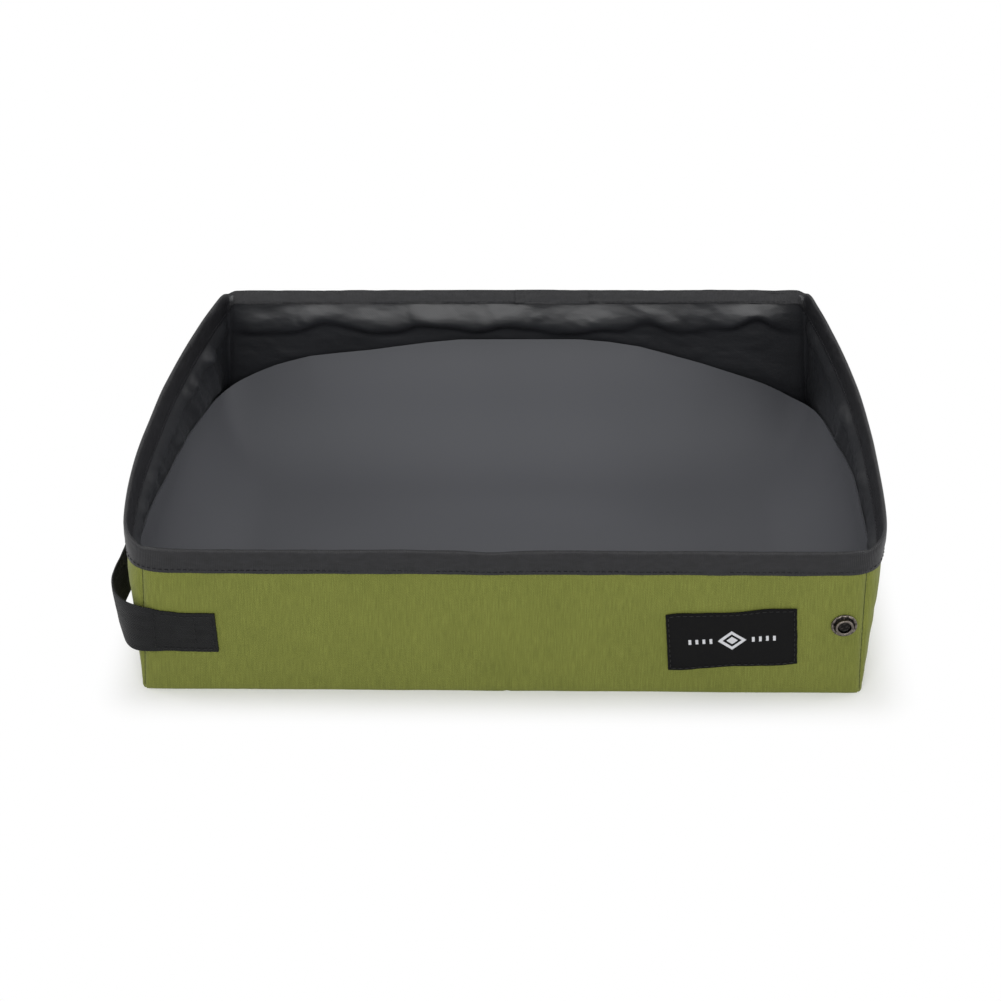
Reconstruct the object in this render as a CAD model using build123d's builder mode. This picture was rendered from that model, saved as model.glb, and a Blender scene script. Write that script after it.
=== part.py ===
from build123d import *
import os

# Foldable fabric litter box, open and standing on its base.
# Origin: middle of the underside, on the mid crease. X runs along the front wall,
# Y from the front wall to the back wall, Z up. All lengths are in millimetres.

# Whole box
box_width = 400.0            # along the front wall, at the base
box_depth = 300.0            # front face to back face, at the base
wall_height = 94.5           # front and back walls, under the rim binding
rim_lean = 6.0               # each upper corner stands this much further in than the lower one

# Cloth and stiffeners
cover_cloth = 1.0            # green outer cloth
board = 3.0                  # stiffener boards
lining_cloth = 0.8           # black coated lining
lining_gap = 0.1             # between the cloth and the lining of the unboarded sides
board_margin = 4.0           # seam allowance left free round each board
crease_gap = 0.3             # between the left and right halves of the walls and base
cloth_clearance = 0.3        # soft pieces of different bodies stay this far apart

# Rim binding
binding_cloth = 0.8
binding_drop = 13.5          # how far the binding reaches down each face
binding_crown = 2.5          # height of its rounded top above the walls
binding_round = 0.8          # how much narrower the crown is at its top
binding_stitch_gap = 0.15    # between the side binding's legs and the bowed cloth
patch_length = 50.0          # the binding's two ends overlap under this patch
patch_drop = 11.0
patch_cloth = 0.7

# Soft side walls
left_bow = 19.5              # how far the left rim bows out past its corners
right_bow = 17.5
foot_bow = 0.6               # the same at the foot of the side walls
bow_depth_shares = (0.0, 0.04, 0.14, 0.36, 0.60, 0.82, 1.0)
bow_shares = (0.0, 0.42, 0.68, 1.0, 0.90, 0.46, 0.0)

# Base
base_side_clearance = 0.8    # the base passes the wall binding by this much when it folds
spine_width = 24.0           # cloth strip under the mid crease, the fold's living hinge

# Loose floor liner
liner_thickness = 1.2
liner_edge_gap = 0.4         # to the lining around it
liner_bend_radius = 25.0     # where it turns up the back wall
liner_crown_height = 63.0    # height of its arched back edge at the middle
liner_left_height = 33.0     # the same at the left corner
liner_right_height = 20.0

# Closing strap
strap_width = 26.0
strap_cloth = 1.5
strap_height = 40.5          # centre line above the floor
strap_sewn_length = 42.0     # sewn to the front wall, back from the corner
strap_stand_off = 20.0       # how far the tail stands out from the corner
strap_tail_length = 110.0

# Woven label
label_width = 70.5
label_height = 37.5
label_cloth = 0.6
label_end_distance = 75.5    # its middle, in from the wall's right-hand corner
label_z = 37.8
label_tilt = 4.0             # degrees

# Press stud on the front wall and its socket on the strap
stud_end_distance = 15.5     # in from the wall's right-hand corner
stud_z = 47.5
stud_flange_diameter = 14.0
stud_flange = 0.9
stud_post_diameter = 9.4
stud_stand_out = 3.0
stud_mouth_diameter = 5.8
stud_mouth_depth = 2.0
stud_bead = 0.5              # radius of the post's rolled edge
shank_diameter = 4.8
hole_clearance = 0.4         # round the shank and round the washer, in diameter
washer_diameter = 11.0
washer = 1.6
socket_diameter = 13.0
socket_depth = 2.8
socket_fit = 0.2             # round the stud's post, in diameter
socket_floor = 0.8
socket_end_gap = 12.0        # socket centre to the strap's end
cap_diameter = 14.5
cap_height = 2.4
cap_edge = 0.9

# Derived places
half_width = box_width / 2
half_depth = box_depth / 2
stud_x = half_width - stud_end_distance
wall_thickness = cover_cloth + board + lining_cloth
rim_height = wall_height + binding_crown
side_thickness = cover_cloth + lining_gap + lining_cloth
floor_top = cover_cloth + board + lining_cloth
liner_top = floor_top + liner_thickness
base_half_depth = half_depth - wall_thickness - binding_cloth - base_side_clearance
binding_foot = wall_height - binding_drop
half_gap = crease_gap / 2
wall_end_gap = binding_stitch_gap + binding_cloth + cloth_clearance
fold_axis_z = liner_top + binding_cloth + cloth_clearance
fold_axis_y = half_depth - wall_thickness
crease_offset = (stud_stand_out + strap_cloth + cloth_clearance) / 2
crease_axis_y = half_depth + crease_offset
halves_axis_z = fold_axis_z + wall_thickness + crease_offset

os.makedirs("parts", exist_ok=True)


def save(piece, name):
    piece.part.label = name
    export_step(piece.part, f"parts/{name}.step")


def lean_at(z):
    return rim_lean * z / rim_height


def wall_end(z):
    return half_width - side_thickness - wall_end_gap - lean_at(z)


# A wall layer: a plate whose free end leans in like the corner of the box. It lies
# between two depths measured outwards from the middle of the box.
def wall_layer(side, face, near, far, foot, top, crease_edge, end_inset):
    with BuildPart() as layer:
        with BuildSketch(Plane.XZ.offset(-face * near)):
            with BuildLine():
                Polyline(
                    (side * crease_edge, foot),
                    (side * (wall_end(foot) - end_inset), foot),
                    (side * (wall_end(top) - end_inset), top),
                    (side * crease_edge, top),
                    close=True,
                )
            make_face()
        extrude(amount=-face * (far - near))
    return layer


# The rim binding of a straight wall: a channel that grips the wall's top edge. Its
# patch grips the binding in turn, so it stands off by the binding's cloth.
def wall_binding(side, face, start, length, drop, cloth, stand_off, gripped_top):
    inner = fold_axis_y - stand_off
    outer = half_depth + stand_off
    crown = gripped_top + (binding_crown if stand_off == 0 else cloth)
    with BuildPart() as channel:
        with BuildSketch(Plane.YZ.offset(side * start)):
            with BuildLine():
                Polyline(
                    (face * (inner - cloth), wall_height - drop),
                    (face * (inner - cloth), wall_height),
                    (face * (inner - cloth + binding_round), crown),
                    (face * (outer + cloth - binding_round), crown),
                    (face * (outer + cloth), wall_height),
                    (face * (outer + cloth), wall_height - drop),
                    (face * outer, wall_height - drop),
                    (face * outer, gripped_top),
                    (face * inner, gripped_top),
                    (face * inner, wall_height - drop),
                    close=True,
                )
            make_face()
        extrude(amount=side * length)
    return channel


# One level of a bowed side wall, seen from above: a strip between two like curves.
def side_outline(side, z, bow, outer_shift, inner_shift):
    corner = half_width - lean_at(z)
    reach = foot_bow + (bow - foot_bow) * z / rim_height
    places = [
        (corner + reach * bulge, box_depth * along - half_depth)
        for along, bulge in zip(bow_depth_shares, bow_shares)
    ]
    outer = [(side * (x + outer_shift), y) for x, y in places]
    inner = [(side * (x + inner_shift), y) for x, y in places]
    with BuildSketch(Plane.XY.offset(z)) as level:
        with BuildLine():
            Spline(*outer)
            Line(outer[-1], inner[-1])
            Spline(*reversed(inner))
            Line(inner[0], outer[0])
        make_face()
    return level.sketch


def bowed_layer(side, bow, foot, top, outer_shift, inner_shift, top_outer=None, top_inner=None):
    if top_outer is None:
        top_outer = outer_shift
        top_inner = inner_shift
    with BuildPart() as layer:
        add(side_outline(side, foot, bow, outer_shift, inner_shift))
        add(side_outline(side, top, bow, top_outer, top_inner))
        loft(ruled=True)
    return layer


sides = {"left": -1, "right": 1}
faces = {"front": -1, "back": 1}
bows = {"left": left_bow, "right": right_bow}

# Front and back walls: outer cloth, stiffener board, lining and rim binding
for face_name, face in faces.items():
    for side_name, side in sides.items():
        name = f"{face_name}_{{}}_{side_name}"
        cover = wall_layer(side, face, half_depth - cover_cloth, half_depth,
                           0, wall_height, half_gap, 0)
        stiffener = wall_layer(side, face, fold_axis_y + lining_cloth, half_depth - cover_cloth,
                               board_margin, wall_height - board_margin,
                               board_margin, board_margin)
        lining = wall_layer(side, face, fold_axis_y, fold_axis_y + lining_cloth,
                            0, wall_height, half_gap, 0)
        if face_name == "front" and side_name == "right":
            with cover:
                with Locations(Plane.XZ.offset(half_depth) * Location((stud_x, stud_z))):
                    Hole(radius=(shank_diameter + hole_clearance) / 2, depth=2 * cover_cloth)
            with stiffener:
                with Locations(Plane.XZ.offset(half_depth - cover_cloth)
                               * Location((stud_x, stud_z))):
                    Hole(radius=(washer_diameter + hole_clearance) / 2, depth=2 * board)
        binding = wall_binding(side, face, half_gap, wall_end(rim_height) - half_gap,
                               binding_drop, binding_cloth, 0, wall_height)
        save(cover, name.format("cover"))
        save(stiffener, name.format("board"))
        save(lining, name.format("lining"))
        save(binding, name.format("binding"))

# Patch over the joint of the binding, at the middle of the back wall
patch = wall_binding(1, 1, half_gap, patch_length, patch_drop, patch_cloth,
                     binding_cloth, rim_height)
save(patch, "binding_joint_patch")

# Soft side walls: cloth, lining and binding, bowed out more towards the rim
for side_name, side in sides.items():
    bow = bows[side_name]
    cover = bowed_layer(side, bow, 0, wall_height, 0, -cover_cloth)
    lining = bowed_layer(side, bow, 0, wall_height, -cover_cloth - lining_gap, -side_thickness)
    outer_leg = binding_stitch_gap + binding_cloth
    inner_seat = -side_thickness - binding_stitch_gap
    inner_leg = inner_seat - binding_cloth
    with BuildPart() as binding:
        add(bowed_layer(side, bow, binding_foot, wall_height, outer_leg, binding_stitch_gap).part)
        add(bowed_layer(side, bow, binding_foot, wall_height, inner_seat, inner_leg).part)
        add(bowed_layer(side, bow, wall_height, rim_height, outer_leg, inner_leg,
                        outer_leg - binding_round, inner_leg + binding_round).part)
    save(cover, f"side_cover_{side_name}")
    save(lining, f"side_lining_{side_name}")
    save(binding, f"side_binding_{side_name}")

# Base: two boards between the bottom cloth and the floor lining
base_end = half_width - side_thickness - lean_at(liner_top) - cloth_clearance
spine_half = spine_width / 2


def base_layer(side, low, high, crease_edge, end_inset, depth_inset):
    length = base_end - end_inset - crease_edge
    with BuildPart() as layer:
        with BuildSketch(Plane.XY.offset(low)):
            with Locations((side * (crease_edge + length / 2), 0)):
                Rectangle(length, 2 * (base_half_depth - depth_inset))
        extrude(amount=high - low)
    return layer


for side_name, side in sides.items():
    bottom = base_layer(side, 0, cover_cloth, spine_half, 0, 0)
    stiffener = base_layer(side, cover_cloth, cover_cloth + board,
                           board_margin, board_margin, board_margin)
    lining = base_layer(side, cover_cloth + board, floor_top, half_gap, 0, 0)
    save(bottom, f"bottom_cover_{side_name}")
    save(stiffener, f"base_board_{side_name}")
    save(lining, f"floor_lining_{side_name}")

with BuildPart() as spine:
    with BuildSketch():
        Rectangle(spine_width, 2 * base_half_depth)
    extrude(amount=cover_cloth)
save(spine, "bottom_spine")

# Floor liner: a flat sheet that turns up the back wall to an arched edge
liner_corner = max(liner_left_height, liner_right_height)
liner_end = half_width - side_thickness - lean_at(liner_corner) - liner_edge_gap
liner_back = fold_axis_y - liner_edge_gap
liner_front = base_half_depth
corner_heights = {"left": liner_left_height, "right": liner_right_height}
for side_name, side in sides.items():
    bend = liner_back - liner_bend_radius
    inner_back = liner_back - liner_thickness
    with BuildPart() as liner:
        with BuildSketch(Plane.YZ.offset(side * half_gap)):
            with BuildLine():
                Polyline((bend, floor_top), (-liner_front, floor_top),
                         (-liner_front, liner_top), (bend, liner_top))
                CenterArc((bend, floor_top + liner_bend_radius),
                          liner_bend_radius - liner_thickness, -90, 90)
                Polyline((inner_back, floor_top + liner_bend_radius),
                         (inner_back, liner_crown_height),
                         (liner_back, liner_crown_height),
                         (liner_back, floor_top + liner_bend_radius))
                CenterArc((bend, floor_top + liner_bend_radius), liner_bend_radius, 0, -90)
            make_face()
        extrude(amount=side * (liner_end - half_gap))
        with BuildSketch(Plane.XZ.offset(half_depth)):
            with BuildLine():
                TangentArc((0, liner_crown_height),
                           (side * liner_end, corner_heights[side_name]),
                           tangent=(side, 0))
                Polyline((side * liner_end, corner_heights[side_name]),
                         (side * liner_end, 0), (0, 0), (0, liner_crown_height))
            make_face()
        extrude(amount=-box_depth, mode=Mode.INTERSECT)
    save(liner, f"floor_liner_{side_name}")

# Closing strap: sewn to the front wall, round the left corner, then a free tail
strap_x = half_width + strap_stand_off
strap_face = half_depth + strap_cloth
strap_low = strap_height - strap_width / 2
with BuildPart() as strap_root:
    with BuildSketch(Plane.XY.offset(strap_low)):
        with Locations((strap_sewn_length / 2 - half_width, -half_depth - strap_cloth / 2)):
            Rectangle(strap_sewn_length, strap_cloth)
    extrude(amount=strap_width)
save(strap_root, "strap_sewn_end")

bend_inner = strap_stand_off - strap_cloth
with BuildPart() as strap_bend:
    with BuildSketch(Plane.XY.offset(strap_low)):
        with Locations((-half_width, -strap_face + strap_stand_off)):
            Circle(strap_stand_off)
            Circle(bend_inner, mode=Mode.SUBTRACT)
            with Locations((-strap_stand_off / 2, -strap_stand_off / 2)):
                Rectangle(strap_stand_off, strap_stand_off, mode=Mode.INTERSECT)
    extrude(amount=strap_width)
save(strap_bend, "strap_bend")

tail_start = -strap_face + strap_stand_off + cloth_clearance
tail_middle_x = -strap_x + strap_cloth / 2
with BuildPart() as strap_tail:
    with BuildSketch(Plane.XY.offset(strap_low)):
        with Locations((tail_middle_x, tail_start + strap_tail_length / 2)):
            Rectangle(strap_cloth, strap_tail_length)
    extrude(amount=strap_width)
save(strap_tail, "strap_tail")

# Snap socket on the inner face of the strap's tail, with its cap outside
socket_y = tail_start + strap_tail_length - socket_end_gap
socket_plane = Plane(
    origin=(-strap_x + strap_cloth, socket_y, strap_height), x_dir=(0, 1, 0), z_dir=(1, 0, 0)
)
with BuildPart() as snap_socket:
    with BuildSketch(socket_plane):
        Circle(socket_diameter / 2)
    extrude(amount=socket_depth)
    with BuildSketch(socket_plane.offset(socket_floor)):
        Circle((stud_post_diameter + socket_fit) / 2)
    extrude(amount=socket_depth, mode=Mode.SUBTRACT)
    chamfer(snap_socket.faces().sort_by(Axis.X)[-1].outer_wire().edges(), socket_floor / 2)
save(snap_socket, "snap_socket")

cap_plane = Plane(
    origin=(-strap_x, socket_y, strap_height), x_dir=(0, 1, 0), z_dir=(-1, 0, 0)
)
with BuildPart() as snap_cap:
    with BuildSketch(cap_plane):
        Circle(cap_diameter / 2)
    extrude(amount=cap_height)
    fillet(snap_cap.faces().sort_by(Axis.X)[0].edges(), cap_height - cap_edge)
save(snap_cap, "snap_cap")

# Press stud: flange and hollow post outside, shank through the cloth, washer behind it
stud_plane = Plane.XZ.offset(half_depth) * Location((stud_x, stud_z))
with BuildPart() as press_stud:
    with BuildSketch(Plane(stud_plane)):
        Circle(stud_flange_diameter / 2)
    extrude(amount=stud_flange)
    fillet(press_stud.faces().sort_by(Axis.Y)[0].edges(), stud_flange / 2)
    with BuildSketch(Plane(stud_plane)):
        Circle(stud_post_diameter / 2)
    extrude(amount=stud_stand_out)
    fillet(press_stud.faces().sort_by(Axis.Y)[0].edges(), stud_bead)
    with BuildSketch(Plane(stud_plane).offset(stud_stand_out - stud_mouth_depth)):
        Circle(stud_mouth_diameter / 2)
    extrude(amount=stud_mouth_depth, mode=Mode.SUBTRACT)
    with BuildSketch(Plane(stud_plane).offset(-cover_cloth)):
        Circle(shank_diameter / 2)
    extrude(amount=cover_cloth)
save(press_stud, "press_stud")

with BuildPart() as stud_washer:
    with BuildSketch(Plane(stud_plane).offset(-cover_cloth - washer)):
        Circle(washer_diameter / 2)
    extrude(amount=washer)
save(stud_washer, "stud_washer")

# Woven label sewn to the front wall
label_x = half_width - label_end_distance
label_place = Location((label_x, label_z)) * Rotation(0, 0, label_tilt)
label_plane = Plane.XZ.offset(half_depth) * label_place
with BuildPart() as label:
    with BuildSketch(Plane(label_plane)):
        Rectangle(label_width, label_height)
    extrude(amount=label_cloth)
save(label, "woven_label")

print("wall fold axis: y", fold_axis_y, "z", fold_axis_z)
print("mid crease axes: wall y", crease_axis_y, "base z", halves_axis_z)
print("strap corner: x", -strap_x, "y", -half_depth)
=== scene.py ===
import math
from functools import cache

import bmesh
import bpy
import numpy as np
from bpy.props import FloatProperty, FloatVectorProperty, IntProperty, PointerProperty
from mathutils import Matrix, Vector, noise


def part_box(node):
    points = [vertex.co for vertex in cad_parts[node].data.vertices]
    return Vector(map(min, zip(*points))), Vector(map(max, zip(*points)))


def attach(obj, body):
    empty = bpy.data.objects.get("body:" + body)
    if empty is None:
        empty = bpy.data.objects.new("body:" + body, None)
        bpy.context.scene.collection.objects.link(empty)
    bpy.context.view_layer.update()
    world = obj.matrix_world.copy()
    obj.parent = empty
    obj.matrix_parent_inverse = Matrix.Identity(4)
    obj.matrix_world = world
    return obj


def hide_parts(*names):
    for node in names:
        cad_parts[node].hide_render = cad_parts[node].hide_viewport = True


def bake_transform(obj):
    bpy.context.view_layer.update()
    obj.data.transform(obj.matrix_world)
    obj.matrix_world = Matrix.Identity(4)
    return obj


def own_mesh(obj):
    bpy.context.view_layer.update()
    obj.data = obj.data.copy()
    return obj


bl_info = {
    "name": "Foldable litter box",
    "version": (1, 0, 0),
    "blender": (4, 5, 0),
    "location": "View3D > Sidebar > Litter box",
    "description": "Dresses the packed litter box in canvas, lining, tape, webbing and metal",
    "category": "Object",
}

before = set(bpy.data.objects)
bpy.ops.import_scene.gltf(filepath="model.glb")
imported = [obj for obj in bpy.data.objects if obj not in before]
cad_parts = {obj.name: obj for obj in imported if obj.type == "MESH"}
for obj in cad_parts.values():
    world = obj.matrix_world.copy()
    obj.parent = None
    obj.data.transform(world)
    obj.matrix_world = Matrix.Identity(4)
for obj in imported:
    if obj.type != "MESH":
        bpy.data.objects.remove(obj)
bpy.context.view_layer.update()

MM = 0.001
SIDES = {"left": -1, "right": 1}


def low(node):
    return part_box(node)[0]


def high(node):
    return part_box(node)[1]


def middle(node):
    return (low(node) + high(node)) / 2


# Sizes that the frame gives, in metres
HALF_DEPTH = -low("front_cover_left").y
LINING_FACE = -high("front_lining_left").y
WALL_TOP = high("front_cover_left").z
RIM_TOP = high("front_binding_left").z
BINDING_FOOT = low("front_binding_left").z
CLOTH = high("bottom_spine").z
FLOOR = high("floor_lining_left").z
LINER_TOP = FLOOR + 1.2 * MM


def linear(hex_text):
    """An sRGB hex colour as linear red, green and blue."""
    parts = [int(hex_text[i:i + 2], 16) / 255 for i in (0, 2, 4)]
    return tuple(c / 12.92 if c <= 0.04045 else ((c + 0.055) / 1.055) ** 2.4 for c in parts)


class LitterBoxSizes(bpy.types.PropertyGroup):
    box_width: FloatProperty(
        name="Box width", description="Along the front wall, at the base",
        default=0.400, unit="LENGTH")
    rim_lean: FloatProperty(
        name="Rim lean", description="How far each upper corner stands in from the lower one",
        default=0.0065, unit="LENGTH")
    left_bow: FloatProperty(
        name="Left bow", description="How far the left rim bows out past its corners",
        default=0.0195, unit="LENGTH")
    right_bow: FloatProperty(
        name="Right bow", description="How far the right rim bows out past its corners",
        default=0.0175, unit="LENGTH")
    stitch_pitch: FloatProperty(
        name="Stitch pitch", description="From one stitch to the next",
        default=0.0034, unit="LENGTH")
    weave_pitch: FloatProperty(
        name="Weave pitch", description="From one canvas thread to the next",
        default=0.0009, unit="LENGTH")
    notches: IntProperty(
        name="Stud notches", description="Pressed notches round the stud's flange", default=12)


class LitterBoxColours(bpy.types.PropertyGroup):
    canvas: FloatVectorProperty(
        name="Canvas", description="Outer cloth", subtype="COLOR", default=linear("6B7030"))
    canvas_dark: FloatVectorProperty(
        name="Canvas shade", description="Darker yarns", subtype="COLOR",
        default=linear("62682B"))
    canvas_pale: FloatVectorProperty(
        name="Canvas light", description="Paler slub yarns", subtype="COLOR",
        default=linear("757B37"))
    lining: FloatVectorProperty(
        name="Lining", description="Coated inner cloth", subtype="COLOR",
        default=linear("191A1D"))
    tape: FloatVectorProperty(
        name="Tape", description="Rim binding", subtype="COLOR", default=linear("17171A"))
    liner: FloatVectorProperty(
        name="Liner", description="Loose floor liner", subtype="COLOR",
        default=linear("515256"))
    webbing: FloatVectorProperty(
        name="Webbing", description="Closing strap", subtype="COLOR",
        default=linear("0F1011"))
    label: FloatVectorProperty(
        name="Label", description="Woven label", subtype="COLOR", default=linear("070708"))


# Materials

def add_node(tree, kind, inputs=None, output=0, stops=(), **settings):
    """Adds a shader node and gives its output socket. An input is a constant or another
    node's socket; stops are a colour ramp's places and colours."""
    made = tree.nodes.new(kind)
    for name, value in settings.items():
        setattr(made, name, value)
    for name, value in (inputs or {}).items():
        if isinstance(value, bpy.types.NodeSocket):
            tree.links.new(value, made.inputs[name])
        else:
            made.inputs[name].default_value = value
    for index, (position, colour) in enumerate(stops):
        elements = made.color_ramp.elements
        element = elements[index] if index < len(elements) else elements.new(position)
        element.position = position
        element.color = rgba(colour)
    return made.outputs[output] if made.outputs else None


def new_material(name):
    made = bpy.data.materials.new(name)
    made.use_nodes = True
    made.node_tree.nodes.clear()
    return made, made.node_tree


def rgba(colour):
    return (*colour, 1.0)


def scaled(colour, factor):
    return tuple(factor * part for part in colour)


def surface(tree, colour, height=None, bump=(0.0, 0.0), **values):
    """The principled shader and the output, with constants on its own sockets; bump is
    the strength and the depth that the height stands for."""
    inputs = {"Base Color": colour, **values}
    if height is not None:
        inputs["Normal"] = add_node(tree, "ShaderNodeBump", {
            "Height": height, "Strength": bump[0], "Distance": bump[1]})
    shader = add_node(tree, "ShaderNodeBsdfPrincipled", inputs)
    add_node(tree, "ShaderNodeOutputMaterial", {"Surface": shader})


def in_threads(tree, across, along, layer="cloth"):
    """The piece's own flat cloth map, counted in threads of those pitches."""
    flat = add_node(tree, "ShaderNodeUVMap", uv_map=layer)
    return add_node(tree, "ShaderNodeMapping", {
        "Vector": flat, "Scale": (1 / across, 1 / along, 1)})


def thread_waves(tree, threads, turn):
    """Sine waves across and along the cloth, one turn's angle to each thread."""
    waves = []
    for axis in ("X", "Y"):
        place = add_node(tree, "ShaderNodeSeparateXYZ", {0: threads}, output=axis)
        angle = add_node(tree, "ShaderNodeMath", {0: place, 1: turn}, operation="MULTIPLY")
        waves.append(add_node(tree, "ShaderNodeMath", {0: angle}, operation="SINE"))
    return waves


def mixture(tree, *parts):
    """Sum of sockets, each with its own weight."""
    total = 0.0
    for socket, weight in parts:
        total = add_node(tree, "ShaderNodeMath", {0: socket, 1: weight, 2: total},
                         operation="MULTIPLY_ADD")
    return total


def plain_weave(tree, threads):
    """Height of a plain weave: over and under in turn, one thread to a unit."""
    across, along = thread_waves(tree, threads, math.pi)
    return add_node(tree, "ShaderNodeMath", {0: across, 1: along}, operation="MULTIPLY")


@cache
def canvas():
    """Slubbed polyester canvas, plain woven: thick and thin upright yarns give it streaks."""
    colours = bpy.context.scene.litter_colours
    pitch = bpy.context.scene.litter_sizes.weave_pitch
    made, tree = new_material("slubbed_polyester_canvas")
    weave = plain_weave(tree, in_threads(tree, pitch, pitch))
    streak = add_node(tree, "ShaderNodeTexNoise", {
        "Vector": in_threads(tree, 0.7 * MM, 11 * MM), "Scale": 1.0, "Detail": 3.0,
        "Roughness": 0.6})
    tone = add_node(tree, "ShaderNodeTexNoise", {
        "Vector": in_threads(tree, 30 * MM, 60 * MM), "Scale": 1.0, "Detail": 2.0})
    colour = add_node(tree, "ShaderNodeValToRGB", {
        "Fac": mixture(tree, (streak, 0.8), (tone, 0.2))}, stops=(
            (0.34, colours.canvas_dark), (0.5, colours.canvas), (0.68, colours.canvas_pale)))
    surface(tree, colour, mixture(tree, (weave, 0.35), (streak, 1.0)), (0.5, 0.35 * MM),
            **{"Roughness": 0.82, "Sheen Weight": 0.08, "Sheen Roughness": 0.5,
               "Specular IOR Level": 0.2})
    return made


@cache
def lining_cloth():
    """Polyurethane-coated black taffeta: fine ribs under a soft oily gloss."""
    colours = bpy.context.scene.litter_colours
    made, tree = new_material("coated_black_taffeta")
    weave = plain_weave(tree, in_threads(tree, 0.8 * MM, 0.8 * MM))
    crumple = add_node(tree, "ShaderNodeTexNoise", {
        "Vector": in_threads(tree, 16 * MM, 9 * MM), "Scale": 1.0, "Detail": 3.0,
        "Roughness": 0.55})
    patch = add_node(tree, "ShaderNodeTexNoise", {
        "Vector": in_threads(tree, 40 * MM, 22 * MM), "Scale": 1.0, "Detail": 2.0})
    colour = add_node(tree, "ShaderNodeValToRGB", {"Fac": patch}, stops=(
        (0.35, colours.lining), (0.7, scaled(colours.lining, 1.35))))
    surface(tree, colour, mixture(tree, (weave, 0.04), (crumple, 1.0)), (0.35, 1.2 * MM),
            **{"Roughness": 0.42, "Specular IOR Level": 0.56})
    return made


@cache
def binding_tape():
    """Folded polyester binding tape: close ribs across it and a dull face."""
    colours = bpy.context.scene.litter_colours
    made, tree = new_material("ribbed_binding_tape")
    rib = thread_waves(tree, in_threads(tree, 1.0 * MM, 3.0 * MM), 2 * math.pi)[0]
    cloud = add_node(tree, "ShaderNodeTexNoise", {
        "Vector": in_threads(tree, 7 * MM, 4 * MM), "Scale": 1.0, "Detail": 4.0,
        "Roughness": 0.6})
    colour = add_node(tree, "ShaderNodeValToRGB", {"Fac": cloud}, stops=(
        (0.3, scaled(colours.tape, 0.5)), (0.72, scaled(colours.tape, 1.3))))
    surface(tree, colour, mixture(tree, (rib, 0.2), (cloud, 1.0)), (0.5, 0.6 * MM),
            **{"Roughness": 0.46, "Specular IOR Level": 0.34})
    return made


@cache
def liner_sheet():
    """Calendered waterproof sheet: an even, satin grey skin with a faint haircell grain."""
    colours = bpy.context.scene.litter_colours
    made, tree = new_material("calendered_waterproof_sheet")
    cell = add_node(tree, "ShaderNodeTexNoise", {
        "Vector": in_threads(tree, 1.2 * MM, 1.2 * MM), "Scale": 1.0, "Detail": 2.0})
    cloud = add_node(tree, "ShaderNodeTexNoise", {
        "Vector": in_threads(tree, 120 * MM, 160 * MM), "Scale": 1.0, "Detail": 1.0})
    colour = add_node(tree, "ShaderNodeValToRGB", {"Fac": cloud}, stops=(
        (0.2, scaled(colours.liner, 0.93)), (0.8, scaled(colours.liner, 1.07))))
    surface(tree, colour, cell, (0.1, 0.1 * MM),
            **{"Roughness": 0.5, "Specular IOR Level": 0.2})
    return made


@cache
def strap_webbing():
    """Black polypropylene webbing: chevron ribs between two plain selvedges."""
    colours = bpy.context.scene.litter_colours
    made, tree = new_material("black_polypropylene_webbing")
    threads = in_threads(tree, 1.3 * MM, 1.5 * MM)
    sideways, upright = (add_node(tree, "ShaderNodeSeparateXYZ", {0: threads}, output=axis)
                         for axis in ("X", "Y"))
    zigzag = add_node(tree, "ShaderNodeMath", {0: upright, 1: 2.0}, operation="PINGPONG")
    slanted = mixture(tree, (sideways, 2 * math.pi), (zigzag, 2 * math.pi))
    rib = add_node(tree, "ShaderNodeMath", {0: slanted}, operation="SINE")
    cord = thread_waves(tree, threads, 2 * math.pi)[1]
    cloud = add_node(tree, "ShaderNodeTexNoise", {
        "Vector": in_threads(tree, 9 * MM, 9 * MM), "Scale": 1.0, "Detail": 3.0})
    colour = add_node(tree, "ShaderNodeValToRGB", {
        "Fac": mixture(tree, (rib, 0.1), (cloud, 1.0))}, stops=(
            (0.3, scaled(colours.webbing, 0.75)), (0.8, scaled(colours.webbing, 1.5))))
    surface(tree, colour, mixture(tree, (rib, 1.0), (cord, 0.6)), (0.6, 0.3 * MM),
            **{"Roughness": 0.6, "Specular IOR Level": 0.2})
    return made


BLACK_THREAD = ("black_bonded_thread", "1B1B1F")
DULL_THREAD = ("dull_black_thread", "09090B")
# Darker than the canvas: the corner seams' thread, and partly painted shade for the grooves it
# lies in
GREEN_THREAD = ("green_bonded_thread", "3F4417")


@cache
def thread(name, hex_text):
    """Bonded polyester sewing thread: twisted, with a slight gloss."""
    colour = linear(hex_text)
    made, tree = new_material(name)
    place = add_node(tree, "ShaderNodeTexCoord", output="Object")
    twist = add_node(tree, "ShaderNodeTexNoise", {"Vector": place, "Scale": 1 / (0.4 * MM)})
    shade = add_node(tree, "ShaderNodeValToRGB", {"Fac": twist}, stops=(
        (0.3, scaled(colour, 0.7)), (0.7, scaled(colour, 1.2))))
    surface(tree, shade, **{"Roughness": 0.5, "Specular IOR Level": 0.3})
    return made


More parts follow.
